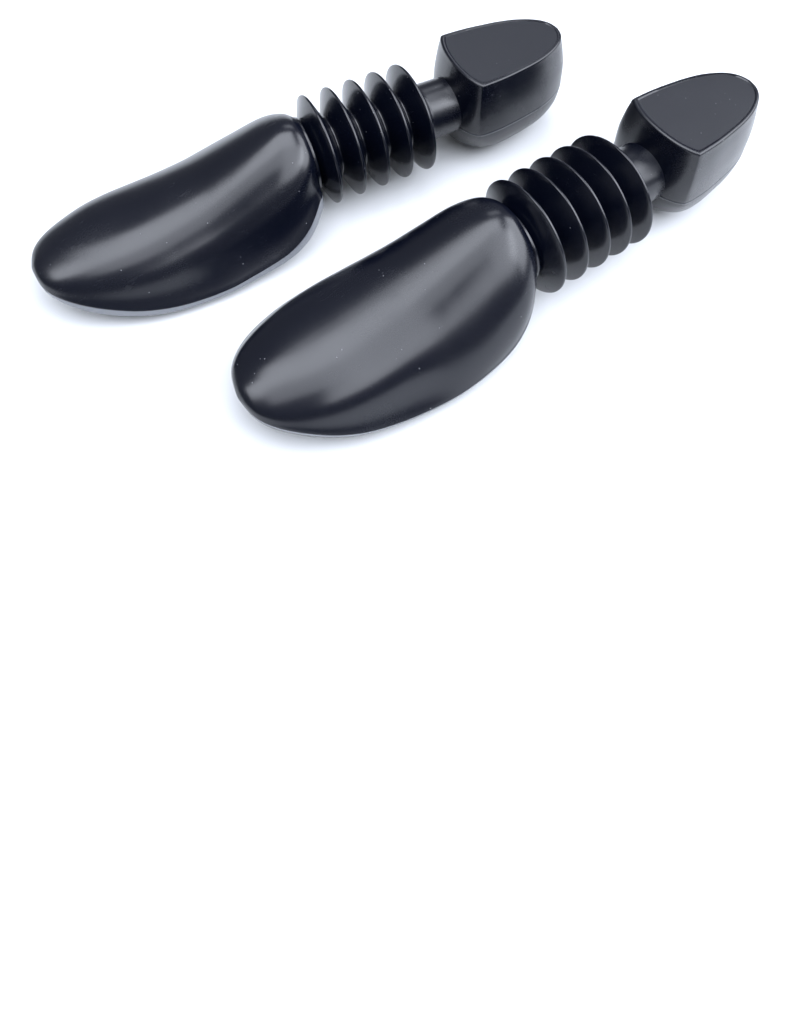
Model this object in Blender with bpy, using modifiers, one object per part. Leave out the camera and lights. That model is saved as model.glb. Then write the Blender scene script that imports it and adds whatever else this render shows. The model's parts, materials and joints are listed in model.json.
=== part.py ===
"""A pair of moulded plastic shoe stretchers, one for each foot, in metres with +Z up.

Each stretcher lies along X with its toe at -X: a hollow toe form on a sole shell, a collar,
a bellows of crest and root rings, a plain neck and a rounded heel block in two shells.
"""

import math

import bmesh
import bpy
import numpy as np

# Fit between pieces and wall sizes
CLEARANCE = 0.0003
SHELL_WALL = 0.0018
TUBE_WALL = 0.0014
MERGE_DISTANCE = 0.00001
SATIN_ROUGHNESS = 0.32

# Bellows
CREST_RADIUS = 0.0250
FLOOR_GAP = 0.0020
AXIS_HEIGHT = CREST_RADIUS + FLOOR_GAP
ROOT_RADIUS = 0.0135
SPLIT_RADIUS = 0.0180
SPLIT_GAP = 0.0005
FOLD_PITCH = 0.0112
FOLD_TIP_HALF = 0.00045
FOLD_WALL = 0.00108
FOLDS = 5
FOLD_SEGMENTS = 24
LAST_FOLD = FOLD_PITCH * (FOLDS - 1) / 2
FIRST_FOLD = -LAST_FOLD

# Collar between the toe form and the first fold
COLLAR_RADIUS = 0.0170
COLLAR_STANDOFF = 0.0064
COLLAR_THICKNESS = 0.0016
COLLAR_EDGE = 0.0004
COLLAR_AT = FIRST_FOLD - COLLAR_STANDOFF

# Neck between the last fold and the heel
NECK_RADIUS = 0.0133
NECK_SHOWING = 0.0206
NECK_ENTRY = 0.0035

# Toe form
TOE_LENGTH = 0.1177
TOE_REAR = COLLAR_AT - COLLAR_THICKNESS / 2 - CLEARANCE
TOE_HALF_WIDTH = 0.0349
TOE_HEIGHT = 0.0486
TOE_BORE_RADIUS = 0.0125
PARTING_LIP = 0.0010
TOE_UPPER_SEGMENTS = 12
TOE_SOLE_SEGMENTS = 8
CREST_SOFTNESS_SHARE = 0.15
FLANK_LEAN_SHARE = 0.38
FLANK_LEAN_SKEW_SHARE = 0.12
TOE_SOLE_POWER = 2.2
SOLE_FLAT_SHARE = 0.93

# Toe stations: share of the length from the tip, then shares of the half width for the centre
# line and the half width, then shares of the height for the top, the parting line and the sole, then
# how far the crest lies to the +Y side as a share, and the powers of the crest and of the shoulders
TOE_STATION_SHARES = (
    (0.000, 0.095, 0.060, 0.434, 0.410, 0.380, 0.024, 1.09, 2.45),
    (0.010, 0.097, 0.225, 0.469, 0.400, 0.318, 0.022, 1.11, 2.42),
    (0.030, 0.099, 0.370, 0.501, 0.388, 0.255, 0.020, 1.14, 2.37),
    (0.070, 0.099, 0.523, 0.538, 0.362, 0.178, 0.017, 1.22, 2.28),
    (0.130, 0.095, 0.673, 0.573, 0.318, 0.103, 0.015, 1.35, 2.17),
    (0.205, 0.086, 0.808, 0.600, 0.262, 0.045, 0.019, 1.58, 2.08),
    (0.290, 0.085, 0.911, 0.624, 0.205, 0.012, 0.025, 1.66, 2.01),
    (0.390, 0.083, 0.978, 0.650, 0.160, 0.0, 0.033, 1.62, 1.95),
    (0.490, 0.072, 1.012, 0.686, 0.138, 0.0, 0.041, 1.62, 1.81),
    (0.590, 0.058, 1.028, 0.729, 0.142, 0.0, 0.045, 1.62, 1.66),
    (0.670, 0.045, 1.014, 0.782, 0.160, 0.0, 0.045, 1.59, 1.64),
    (0.740, 0.042, 0.992, 0.867, 0.185, 0.0, 0.043, 1.52, 1.67),
    (0.805, 0.044, 0.960, 0.925, 0.215, 0.0, 0.023, 1.38, 1.97),
    (0.860, 0.047, 0.914, 0.973, 0.268, 0.006, 0.009, 1.27, 2.22),
    (0.910, 0.050, 0.841, 1.008, 0.340, 0.018, -0.001, 1.17, 2.41),
    (0.950, 0.053, 0.743, 1.013, 0.418, 0.040, -0.006, 1.15, 2.60),
    (0.980, 0.058, 0.638, 0.996, 0.474, 0.065, -0.009, 1.20, 2.79),
    (1.000, 0.063, 0.553, 0.962, 0.478, 0.095, -0.011, 1.25, 2.93),
)

# Heel block
HEEL_FRONT = LAST_FOLD + NECK_SHOWING
HEEL_LENGTH = 0.0555
HEEL_HALF_WIDTH = 0.0192
HEEL_TOP = 0.0518
HEEL_BORE_RADIUS = NECK_RADIUS + CLEARANCE
HEEL_BORE_DEPTH = 0.0080

# Heel plan, half of it from the front centre round to the rear: shares of length and half width, with
# crisp front corners as at the top, then the same points with the soft corners of the underside
HEEL_PLAN_SHARES = (
    (0.000, 0.000, 0.000, 0.000),
    (0.003, 0.220, 0.010, 0.205),
    (0.011, 0.440, 0.034, 0.405),
    (0.026, 0.650, 0.072, 0.590),
    (0.050, 0.850, 0.122, 0.752),
    (0.072, 0.965, 0.176, 0.868),
    (0.090, 1.000, 0.236, 0.940),
    (0.180, 0.998, 0.306, 0.972),
    (0.300, 0.978, 0.390, 0.958),
    (0.440, 0.928, 0.490, 0.908),
    (0.590, 0.858, 0.612, 0.842),
    (0.730, 0.752, 0.738, 0.746),
    (0.850, 0.595, 0.850, 0.595),
    (0.930, 0.430, 0.930, 0.430),
    (0.980, 0.230, 0.980, 0.230),
    (1.000, 0.000, 1.000, 0.000),
)

# Heel levels above and below the parting line: share of the height, then growth of the length and
# of the width, the shift of the front as a share of the length, and how soft the front corners are
HEEL_UPPER_SHARES = (
    (1.000, 0.972, 0.955, 0.012, 0.00),
    (0.972, 1.000, 1.000, 0.000, 0.00),
    (0.850, 1.050, 1.060, -0.018, 0.04),
    (0.680, 1.108, 1.118, -0.043, 0.14),
    (0.480, 1.144, 1.147, -0.068, 0.38),
    (0.448, 1.144, 1.147, -0.068, 0.38),
)
HEEL_LOWER_SHARES = (
    (0.442, 1.144, 1.147, -0.068, 0.38),
    (0.412, 1.144, 1.147, -0.068, 0.38),
    (0.300, 1.122, 1.110, -0.058, 0.66),
    (0.195, 1.053, 0.995, -0.028, 0.84),
    (0.105, 0.945, 0.810, 0.024, 1.00),
    (0.040, 0.812, 0.600, 0.088, 1.00),
    (0.008, 0.690, 0.435, 0.148, 1.00),
    (0.000, 0.598, 0.340, 0.200, 1.00),
)

# Where the second stretcher lies from the first, and the shift that centres the pair
SECOND_AT = (-0.0462, 0.0835)
SECOND_HEADING = math.radians(-6.56)
PAIR_SHIFT = (0.0454, -0.0463)

# Tints: one for each kind of piece
TINTS = {
    "toe_upper": (0.020, 0.021, 0.026),
    "toe_sole": (0.024, 0.025, 0.031),
    "collar": (0.018, 0.019, 0.024),
    "crest": (0.016, 0.017, 0.022),
    "root": (0.013, 0.014, 0.018),
    "neck": (0.021, 0.022, 0.027),
    "heel_upper": (0.023, 0.024, 0.030),
    "heel_lower": (0.020, 0.021, 0.026),
}


def clear_scene():
    for old in list(bpy.data.objects):
        bpy.data.objects.remove(old, do_unlink=True)


def collection_named(name):
    made = bpy.data.collections.new(name)
    bpy.context.scene.collection.children.link(made)
    return made


def stretcher_empty(hand, home):
    """The frame of one stretcher: its origin is on the floor, under the middle fold."""
    made = bpy.data.objects.new(f"{hand}_stretcher", None)
    made.location = (PAIR_SHIFT[0], PAIR_SHIFT[1], 0.0)
    if hand == "right":
        made.location.x += SECOND_AT[0]
        made.location.y += SECOND_AT[1]
        made.rotation_euler.z = SECOND_HEADING
    home.objects.link(made)
    return made


def material_for(name, kind):
    made = bpy.data.materials.new(name)
    made.use_nodes = True
    shader = made.node_tree.nodes["Principled BSDF"]
    shader.inputs["Base Color"].default_value = (*TINTS[kind], 1.0)
    shader.inputs["Roughness"].default_value = SATIN_ROUGHNESS
    shader.inputs["Metallic"].default_value = 0.0
    return made


def add_piece(name, kind, points, edges, faces, parent, home):
    """One mesh object on its stretcher's empty."""
    mesh = bpy.data.meshes.new(name)
    mesh.from_pydata(points, edges, faces)
    mesh.shade_smooth()
    if kind is not None:
        mesh.materials.append(material_for(name, kind))
    made = bpy.data.objects.new(name, mesh)
    made.parent = parent
    home.objects.link(made)
    return made


def turned(name, kind, profile, middle, parent, home):
    """A closed profile of (place along the axis, radius) turned round the bellows axis."""
    points = [(radius, 0.0, along) for along, radius in reversed(profile)]
    edges = [(index, (index + 1) % len(points)) for index in range(len(points))]
    made = add_piece(name, kind, points, edges, [], parent, home)
    made.location = (middle, 0.0, AXIS_HEIGHT)
    made.rotation_euler.y = math.radians(90.0)
    screw = made.modifiers.new("turn", "SCREW")
    screw.axis = "Z"
    screw.steps = FOLD_SEGMENTS
    screw.render_steps = FOLD_SEGMENTS
    screw.use_merge_vertices = True
    screw.merge_threshold = MERGE_DISTANCE
    return made


def fold_wall_place(radius):
    """Distance of a fold wall's outer face from the fold's middle, at a radius."""
    slope = (FOLD_PITCH / 2 - 2 * FOLD_TIP_HALF) / (CREST_RADIUS - ROOT_RADIUS)
    return FOLD_TIP_HALF + slope * (CREST_RADIUS - radius)


def fold_wall_radius(place):
    """Radius of a fold wall's outer face at a distance from the fold's middle."""
    slope = (FOLD_PITCH / 2 - 2 * FOLD_TIP_HALF) / (CREST_RADIUS - ROOT_RADIUS)
    return CREST_RADIUS - (place - FOLD_TIP_HALF) / slope


def crest_ring(name, middle, parent, home):
    """The outer half of a fold: a thin V that opens towards the bellows axis."""
    outer = fold_wall_place(SPLIT_RADIUS)
    inner = outer - FOLD_WALL
    apex = fold_wall_radius(FOLD_WALL)
    profile = [
        (-outer, SPLIT_RADIUS),
        (-FOLD_TIP_HALF, CREST_RADIUS),
        (FOLD_TIP_HALF, CREST_RADIUS),
        (outer, SPLIT_RADIUS),
        (inner, SPLIT_RADIUS),
        (0.0, apex),
        (-inner, SPLIT_RADIUS),
    ]
    return turned(name, "crest", profile, middle, parent, home)


def root_ring(name, middle, parent, home):
    """The inner half between two folds: a thin V that opens outwards, with the valley as its bend."""
    rim = SPLIT_RADIUS - SPLIT_GAP
    outer = FOLD_PITCH / 2 - fold_wall_place(rim)
    bore = ROOT_RADIUS - FOLD_WALL
    bend = FOLD_TIP_HALF + FOLD_WALL / 2
    profile = [
        (-outer - FOLD_WALL, rim),
        (-outer, rim),
        (-FOLD_TIP_HALF, ROOT_RADIUS),
        (FOLD_TIP_HALF, ROOT_RADIUS),
        (outer, rim),
        (outer + FOLD_WALL, rim),
        (bend, bore),
        (-bend, bore),
    ]
    return turned(name, "root", profile, middle, parent, home)


def collar(name, parent, home):
    """The flange behind the toe form, with the half root that meets the first fold."""
    rim = SPLIT_RADIUS - SPLIT_GAP
    outer = COLLAR_STANDOFF - fold_wall_place(rim)
    valley = COLLAR_STANDOFF - fold_wall_place(ROOT_RADIUS)
    bore = ROOT_RADIUS - FOLD_WALL
    half = COLLAR_THICKNESS / 2
    profile = [
        (-half, bore),
        (-half, COLLAR_RADIUS - COLLAR_EDGE),
        (COLLAR_EDGE - half, COLLAR_RADIUS),
        (half - COLLAR_EDGE, COLLAR_RADIUS),
        (half, COLLAR_RADIUS - COLLAR_EDGE),
        (half, ROOT_RADIUS),
        (outer, rim),
        (outer + FOLD_WALL, rim),
        (valley + FOLD_WALL, bore),
    ]
    return turned(name, "collar", profile, COLLAR_AT, parent, home)


def neck(name, parent, home):
    """The half root behind the last fold and the plain tube that enters the heel block."""
    rim = SPLIT_RADIUS - SPLIT_GAP
    outer = fold_wall_place(rim)
    valley = fold_wall_place(ROOT_RADIUS)
    bore = NECK_RADIUS - TUBE_WALL
    end = NECK_SHOWING + NECK_ENTRY
    profile = [
        (outer - FOLD_WALL, rim),
        (outer, rim),
        (valley, ROOT_RADIUS),
        (valley + FOLD_WALL, NECK_RADIUS),
        (end, NECK_RADIUS),
        (end, bore),
        (valley - FOLD_WALL / 2, bore),
    ]
    return turned(name, "neck", profile, LAST_FOLD, parent, home)


def loft_faces(rows, columns, closed, flip):
    """Faces between rows of points stored one after another. A closed row joins its end to its start."""
    faces = []
    for row in range(rows - 1):
        for column in range(columns if closed else columns - 1):
            here, after = row * columns + column, row * columns + (column + 1) % columns
            faces.append((here, after, after + columns, here + columns))
    return [face[::-1] for face in faces] if flip else faces


def add_shell(name, kind, side, points, faces, parent, home):
    """An open lofted surface with the wall added inwards. The second stretcher's is mirrored."""
    points = [(x, side * y, z) for x, y, z in points]
    faces = [face[::-1] for face in faces] if side < 0 else faces
    made = add_piece(name, kind, points, [], faces, parent, home)
    wall = made.modifiers.new("wall", "SOLIDIFY")
    wall.thickness = SHELL_WALL
    wall.offset = -1.0
    wall.use_even_offset = True
    return made


def crest_rise(share, skew, crest_power, shoulder_power):
    """Height share of the toe form's top at a share of its half width, on a crest rounded off a little."""
    shifted = share - skew * (1.0 - share ** 2)
    reach = math.hypot(shifted, CREST_SOFTNESS_SHARE) - CREST_SOFTNESS_SHARE
    full = math.hypot(1.0, CREST_SOFTNESS_SHARE) - CREST_SOFTNESS_SHARE
    return max(0.0, 1.0 - (reach / full) ** crest_power) ** (1.0 / shoulder_power)


def flank_lean(across, rise):
    """How far the flank above the parting line leans inwards, as a share of the height above it."""
    return (FLANK_LEAN_SHARE + FLANK_LEAN_SKEW_SHARE * across) * rise * (1.0 - rise) ** 3


def toe_row(station, segments, upper):
    """Half a section of the toe form, from its +Y side over the top or the sole to its -Y side."""
    along_share, centre_share, half_share, top_share, parting_share, sole_share, *crest = station
    along = TOE_REAR - TOE_LENGTH * (1.0 - along_share)
    middle, reach = centre_share * TOE_HALF_WIDTH, half_share * TOE_HALF_WIDTH
    level = parting_share * TOE_HEIGHT - (0.0 if upper else CLEARANCE)
    end = (top_share if upper else sole_share) * TOE_HEIGHT
    shoulder = level + math.copysign(PARTING_LIP, end - level)
    row = [(along, middle + reach, level)]
    for step in range(segments + 1):
        angle = math.pi * step / segments
        if upper:
            across = math.cos(angle)
            rise = crest_rise(across, *crest)
            lean = flank_lean(across, rise) * (end - shoulder)
        else:
            across = math.copysign(abs(math.cos(angle)) ** (2.0 / TOE_SOLE_POWER), math.cos(angle))
            rise = min(1.0, math.sin(angle) ** (2.0 / TOE_SOLE_POWER) / SOLE_FLAT_SHARE)
            lean = 0.0
        row.append((along, middle + (reach - lean) * across, shoulder + (end - shoulder) * rise))
    return row + [(along, middle - reach, level)]


def toe_bore_row(segments, upper):
    """The part circle where the toe form's rear wall opens into the collar."""
    level = TOE_STATION_SHARES[-1][4] * TOE_HEIGHT - (0.0 if upper else CLEARANCE)
    start = math.asin((level - AXIS_HEIGHT) / TOE_BORE_RADIUS)
    turn = math.pi - 2.0 * start if upper else -math.pi - 2.0 * start
    row = []
    for step in range(segments + 3):
        angle = start + turn * step / (segments + 2)
        across, rise = TOE_BORE_RADIUS * math.cos(angle), TOE_BORE_RADIUS * math.sin(angle)
        row.append((TOE_REAR, across, AXIS_HEIGHT + rise))
    return row


def toe_shell(name, kind, side, upper, parent, home):
    """The toe form above or below its parting line."""
    segments = TOE_UPPER_SEGMENTS if upper else TOE_SOLE_SEGMENTS
    rows = [toe_row(station, segments, upper) for station in TOE_STATION_SHARES]
    rows.append(toe_bore_row(segments, upper))
    points = [point for row in rows for point in row]
    faces = loft_faces(len(rows), len(rows[0]), False, not upper)
    tip = len(points)
    points.append(tuple(np.mean([rows[0][0], rows[0][-1]], axis=0)))
    for step in range(len(rows[0]) - 1):
        faces.append((tip, step + 1, step) if upper else (tip, step, step + 1))
    return add_shell(name, kind, side, points, faces, parent, home)


def heel_ring(level):
    """One closed outline of the heel block at a level."""
    height_share, length_share, width_share, shift_share, soft_share = level
    half = []
    for crisp_along, crisp_reach, soft_along, soft_reach in HEEL_PLAN_SHARES:
        along_share = crisp_along + (soft_along - crisp_along) * soft_share
        reach_share = crisp_reach + (soft_reach - crisp_reach) * soft_share
        along = HEEL_FRONT + HEEL_LENGTH * (shift_share + along_share * length_share)
        half.append((along, HEEL_HALF_WIDTH * reach_share * width_share, HEEL_TOP * height_share))
    return half + [(x, -y, z) for x, y, z in half[-2:0:-1]]


def heel_shell(name, kind, side, levels, top, cutter, parent, home):
    """The heel block above or below its parting line, lofted through levels from the top down."""
    rings = [heel_ring(level) for level in levels]
    columns = len(rings[0])
    points = [point for ring in rings for point in ring]
    faces = loft_faces(len(rings), columns, True, False)
    last = len(points) - columns
    faces.append(tuple(range(columns))[::-1] if top else tuple(range(last, last + columns)))
    made = add_shell(name, kind, side, points, faces, parent, home)
    bore = made.modifiers.new("bore", "BOOLEAN")
    bore.operation = "DIFFERENCE"
    bore.solver = "EXACT"
    bore.object = cutter
    return made


def bore_cutter(name, parent, home):
    """The round hole for the neck in the heel block's front wall."""
    mesh = bpy.data.meshes.new(name)
    work = bmesh.new()
    bmesh.ops.create_cone(work, cap_ends=True, segments=FOLD_SEGMENTS, radius1=HEEL_BORE_RADIUS,
                          radius2=HEEL_BORE_RADIUS, depth=HEEL_BORE_DEPTH * 2)
    work.to_mesh(mesh)
    work.free()
    made = bpy.data.objects.new(name, mesh)
    made.parent = parent
    made.location = (HEEL_FRONT, 0.0, AXIS_HEIGHT)
    made.rotation_euler.y = math.radians(90.0)
    made.hide_render = True
    made.display_type = "WIRE"
    home.objects.link(made)
    return made


def stretcher(hand, home, cutters):
    """Every piece of one stretcher."""
    side = 1 if hand == "left" else -1
    parent = stretcher_empty(hand, home)
    toe_shell(f"{hand}_toe_upper", "toe_upper", side, True, parent, home)
    toe_shell(f"{hand}_toe_sole", "toe_sole", side, False, parent, home)
    collar(f"{hand}_collar", parent, home)
    for fold in range(FOLDS):
        crest_ring(f"{hand}_crest_{fold + 1}", FIRST_FOLD + fold * FOLD_PITCH, parent, home)
    for fold in range(FOLDS - 1):
        root_ring(f"{hand}_root_{fold + 1}", FIRST_FOLD + (fold + 0.5) * FOLD_PITCH, parent, home)
    neck(f"{hand}_neck", parent, home)
    cutter = bore_cutter(f"{hand}_bore_cutter", parent, cutters)
    heel_shell(f"{hand}_heel_upper", "heel_upper", side, HEEL_UPPER_SHARES, True, cutter, parent, home)
    heel_shell(f"{hand}_heel_lower", "heel_lower", side, HEEL_LOWER_SHARES, False, cutter, parent, home)


def main():
    clear_scene()
    home = collection_named("shoe_stretcher_pair")
    cutters = collection_named("cutters")
    for hand in ("left", "right"):
        stretcher(hand, home, cutters)


main()
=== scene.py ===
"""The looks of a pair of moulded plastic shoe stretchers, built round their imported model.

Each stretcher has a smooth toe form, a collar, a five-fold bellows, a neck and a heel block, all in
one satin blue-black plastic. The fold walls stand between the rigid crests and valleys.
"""

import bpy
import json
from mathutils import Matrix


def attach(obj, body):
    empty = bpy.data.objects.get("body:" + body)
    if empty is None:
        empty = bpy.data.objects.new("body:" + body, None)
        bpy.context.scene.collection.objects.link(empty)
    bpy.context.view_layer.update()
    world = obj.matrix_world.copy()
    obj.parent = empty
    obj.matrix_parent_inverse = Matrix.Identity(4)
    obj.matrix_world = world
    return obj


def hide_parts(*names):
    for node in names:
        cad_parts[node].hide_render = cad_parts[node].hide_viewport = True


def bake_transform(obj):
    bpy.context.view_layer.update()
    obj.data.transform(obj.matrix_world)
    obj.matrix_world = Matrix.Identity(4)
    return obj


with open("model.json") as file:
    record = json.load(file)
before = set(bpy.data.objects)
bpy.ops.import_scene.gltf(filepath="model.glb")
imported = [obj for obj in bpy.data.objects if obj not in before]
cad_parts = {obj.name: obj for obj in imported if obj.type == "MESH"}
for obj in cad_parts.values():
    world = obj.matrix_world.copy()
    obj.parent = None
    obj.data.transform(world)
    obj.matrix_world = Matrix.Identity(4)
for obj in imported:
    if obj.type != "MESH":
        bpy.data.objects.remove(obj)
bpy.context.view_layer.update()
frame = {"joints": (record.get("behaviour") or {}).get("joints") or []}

import json
import math

import bmesh
import bpy
import numpy as np
from bpy.props import FloatProperty, FloatVectorProperty, IntProperty, PointerProperty
from mathutils import Matrix, Vector

bl_info = {
    "name": "Shoe Stretcher Pair",
    "version": (1, 0, 0),
    "blender": (4, 5, 0),
    "location": "View3D > Sidebar > Stretcher",
    "description": "Builds the visible surfaces of a pair of bellows shoe stretchers and their studio",
    "category": "Object",
}

HANDS = ("left", "right")
FOLDS = 5
TAU = 2.0 * math.pi

# Toe stations: share of the length from the tip, then shares of the half width for the centre line
# and the half width, then shares of the height for the top, the parting line and the sole, then how
# far the crest lies to the inner side as a share, and the powers of the crest and of the shoulders.
# No section is made at the first one: it rounds the tip
TOE_STATION_SHARES = (
    (-0.002, 0.090, 0.000, 0.412, 0.410, 0.408, 0.024, 1.09, 2.45),
    (0.000, 0.095, 0.060, 0.434, 0.410, 0.380, 0.024, 1.09, 2.45),
    (0.010, 0.097, 0.225, 0.469, 0.400, 0.318, 0.022, 1.11, 2.42),
    (0.030, 0.099, 0.370, 0.501, 0.388, 0.255, 0.020, 1.14, 2.37),
    (0.070, 0.099, 0.523, 0.538, 0.362, 0.178, 0.017, 1.22, 2.28),
    (0.130, 0.095, 0.673, 0.573, 0.318, 0.103, 0.015, 1.35, 2.17),
    (0.205, 0.086, 0.808, 0.600, 0.262, 0.045, 0.019, 1.58, 2.08),
    (0.290, 0.085, 0.911, 0.624, 0.205, 0.012, 0.025, 1.66, 2.01),
    (0.390, 0.083, 0.978, 0.650, 0.160, 0.0, 0.033, 1.62, 1.95),
    (0.490, 0.072, 1.012, 0.686, 0.138, 0.0, 0.041, 1.62, 1.81),
    (0.590, 0.058, 1.028, 0.733, 0.142, 0.0, 0.045, 1.62, 1.66),
    (0.670, 0.045, 1.014, 0.796, 0.160, 0.0, 0.045, 1.59, 1.66),
    (0.740, 0.042, 0.992, 0.860, 0.185, 0.0, 0.040, 1.54, 1.72),
    (0.805, 0.044, 0.960, 0.921, 0.215, 0.0, 0.028, 1.46, 1.86),
    (0.860, 0.047, 0.914, 0.970, 0.268, 0.006, 0.016, 1.37, 2.05),
    (0.910, 0.050, 0.841, 1.008, 0.340, 0.018, -0.001, 1.17, 2.41),
    (0.950, 0.053, 0.743, 1.013, 0.418, 0.040, -0.006, 1.15, 2.60),
    (0.980, 0.058, 0.638, 0.996, 0.474, 0.065, -0.009, 1.20, 2.79),
    (1.000, 0.063, 0.553, 0.962, 0.478, 0.095, -0.011, 1.25, 2.93),
)

# Heel plan, half of it from the front centre round to the rear: shares of length and half width, with
# crisp front corners as at the top, then the same points with the soft corners of the underside
HEEL_PLAN_SHARES = (
    (0.000, 0.000, 0.000, 0.000),
    (0.003, 0.220, 0.010, 0.205),
    (0.011, 0.440, 0.034, 0.405),
    (0.026, 0.650, 0.072, 0.590),
    (0.050, 0.850, 0.122, 0.752),
    (0.072, 0.965, 0.176, 0.868),
    (0.090, 1.000, 0.236, 0.940),
    (0.180, 0.998, 0.306, 0.972),
    (0.300, 0.978, 0.390, 0.958),
    (0.440, 0.928, 0.490, 0.908),
    (0.590, 0.858, 0.612, 0.842),
    (0.730, 0.752, 0.738, 0.746),
    (0.850, 0.595, 0.850, 0.595),
    (0.930, 0.430, 0.930, 0.430),
    (0.980, 0.230, 0.980, 0.230),
    (1.000, 0.000, 1.000, 0.000),
)

# Heel levels from the top down: share of the height, growth of the length and of the width, the shift
# of the front as a share of the length, and how soft the front corners are
HEEL_LEVEL_SHARES = (
    (0.972, 1.000, 1.000, 0.000, 0.00),
    (0.850, 1.050, 1.060, -0.018, 0.04),
    (0.680, 1.108, 1.118, -0.043, 0.14),
    (0.530, 1.139, 1.143, -0.064, 0.30),
    (0.445, 1.144, 1.147, -0.068, 0.38),
    (0.370, 1.138, 1.135, -0.065, 0.50),
    (0.280, 1.112, 1.090, -0.052, 0.70),
    (0.195, 1.053, 0.995, -0.028, 0.84),
    (0.105, 0.945, 0.810, 0.024, 1.00),
    (0.040, 0.812, 0.600, 0.088, 1.00),
    (0.008, 0.690, 0.435, 0.148, 1.00),
    (0.000, 0.598, 0.340, 0.200, 1.00),
)
HEEL_PARTING_SHARE = 0.445

# Steps between two rows of the tables above, and round or along a piece
TOE_ROW_STEPS = 4
TOE_COLUMNS = 40
HEEL_PLAN_STEPS = 5
HEEL_LEVEL_STEPS = 4
HEEL_EDGE_STEPS = 6
WALL_STEPS = 8
ARC_STEPS = 5

# The toe form: how soft its crest is, how far its flanks lean in as a share of its height above the
# parting line and up to which rise, and how much less the outer flank does, from where and over what
# length
CREST_SOFTNESS_SHARE = 0.15
FLANK_LEAN_SHARE = 0.95
FLANK_LEAN_REACH_SHARE = 0.95
FLANK_EASE_SHARE = 0.90
FLANK_EASE_START_SHARE = 0.42
FLANK_EASE_SPAN_SHARE = 0.36

# The sole: the share of its depth that its steep side takes on the inner and on the outer side, how
# square and how flat its section is, and the small step below the parting line, which is a quarter as
# high above it
SOLE_SIDE_SHARES = (0.42, 0.14)
SOLE_POWER = 2.2
SOLE_FLAT_SHARE = 0.93
LIP = 0.001
LIP_LIMIT_SHARE = 0.35
UPPER_LIP_SHARE = 0.25

# Corners of the turned pieces, in metres, and how much of an edge a corner may take
VALLEY_CORNER = 0.0006
COLLAR_FRONT_CORNER = 0.0004
COLLAR_REAR_CORNER = 0.0005
COLLAR_FOOT_CORNER = 0.0003
NECK_CORNER = 0.0005
CORNER_REACH_SHARE = 0.49

# The neck, in metres: its wall, its slope down to the last fold, and where its parting line runs
NECK_WALL = 0.0014
NECK_SLOPE = 0.0012
NECK_LINE_START = 0.001
NECK_LINE_HALF_WIDTH = 0.00045
NECK_SKIN = 0.0001

# The heel: its rounded top edge, the steps from the sunk flat of its top face out to the border as
# metres inwards and down, the rows of its parting ridge as shares of the height above the line and of
# the ridge, and from what height to what height the pinch-off seam runs
HEEL_EDGE = 0.0011
HEEL_SINK = 0.00034
HEEL_TOP_STEPS = ((0.0023, HEEL_SINK), (0.0021, HEEL_SINK), (0.0018, 0.0), (0.0013, 0.0))
HEEL_RIDGE_SHARES = ((0.006, 0.0), (0.003, 1.0), (-0.003, 1.0), (-0.006, 0.0))
PINCH_OFF_SHARES = (0.08, 0.93)

# Angles above which an edge is sharp
FOLD_SHARP = math.radians(60.0)
BLOCK_SHARP = math.radians(50.0)
TUBE_SHARP = math.radians(45.0)
MERGE_DISTANCE = 0.000001

# Finish of each kind of piece: how its streaks are stretched, the scale of its specks and how much
# rougher it is than the clean plastic
FINISHES = {
    "toe": ((0.25, 1.0, 1.0), 330.0, 0.0),
    "bellows": ((1.0, 0.6, 0.6), 300.0, -0.02),
    "neck": ((1.0, 0.6, 0.6), 420.0, 0.05),
    "heel": ((1.0, 1.0, 0.3), 360.0, 0.02),
}

# Noises of the plastic: scale, detail, roughness and distortion
NOISES = {
    "streaks": (420.0, 5.0, 0.62, 0.4),
    "clouds": (38.0, 3.0, 0.5, 0.0),
    "grain": (2600.0, 2.0, 0.55, 0.0),
    "ripple": (95.0, 1.0, 0.4, 0.0),
    "speck_pick": (130.0, 1.0, 0.5, 0.0),
}

# Where wear and dust show, how rough the plastic gets, and where the painted highlight along the heel's
# parting line and the painted reflection of the floor down the sole's side fall: the values of a noise or of
# the side's depth at which each starts and is full, then what it gives there
RUBBED_STREAKS = (0.60, 0.78)
RUBBED_CLOUDS = (0.45, 0.62)
SPECK_PICK = (0.585, 0.62)
SPECK_EDGE = (0.055, 0.085, 1.0, 0.0)
# How the painted highlight along the heel's parting line varies with the clouds
SEAM_HIGHLIGHT_CLOUDS = (0.35, 0.6, 0.25, 0.6)
CLOUD_ROUGHNESS = (0.3, 0.7, -0.035, 0.035)
GRAIN_ROUGHNESS = (0.3, 0.7, -0.015, 0.015)
# Painted reflection of the floor: the pale band down the sole's steep side, by its depth there
PAINTED_SIDE_START = (0.02, 0.08)
PAINTED_SIDE_END = (1.0, 1.35, 1.0, 0.0)

# How much each mark adds to the colour, the roughness and the relief
RUBBED_TONE = 0.55
SPECK_TONE = 0.8
RUBBED_ROUGHNESS = 0.10
SPECK_ROUGHNESS = 0.35
FLAT_ROUGHNESS = 0.22
GRAIN_RELIEF = 0.05
SPECK_RELIEF = 0.25

# The heel's painted highlight along its parting line and the matte flat on its top: the half widths at which
# each starts to fade and is gone, in metres, and a height that no piece reaches, for the pieces that have
# neither
SEAM_HIGHLIGHT_HALF_WIDTHS = (0.00016, 0.00032)
FLAT_HALF_WIDTHS = (0.00003, 0.00006)
NOWHERE = 1.0

RELIEF_HEIGHT = 0.00006
RELIEF_STRENGTH = 0.35
PLASTIC_IOR = 1.52

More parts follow.
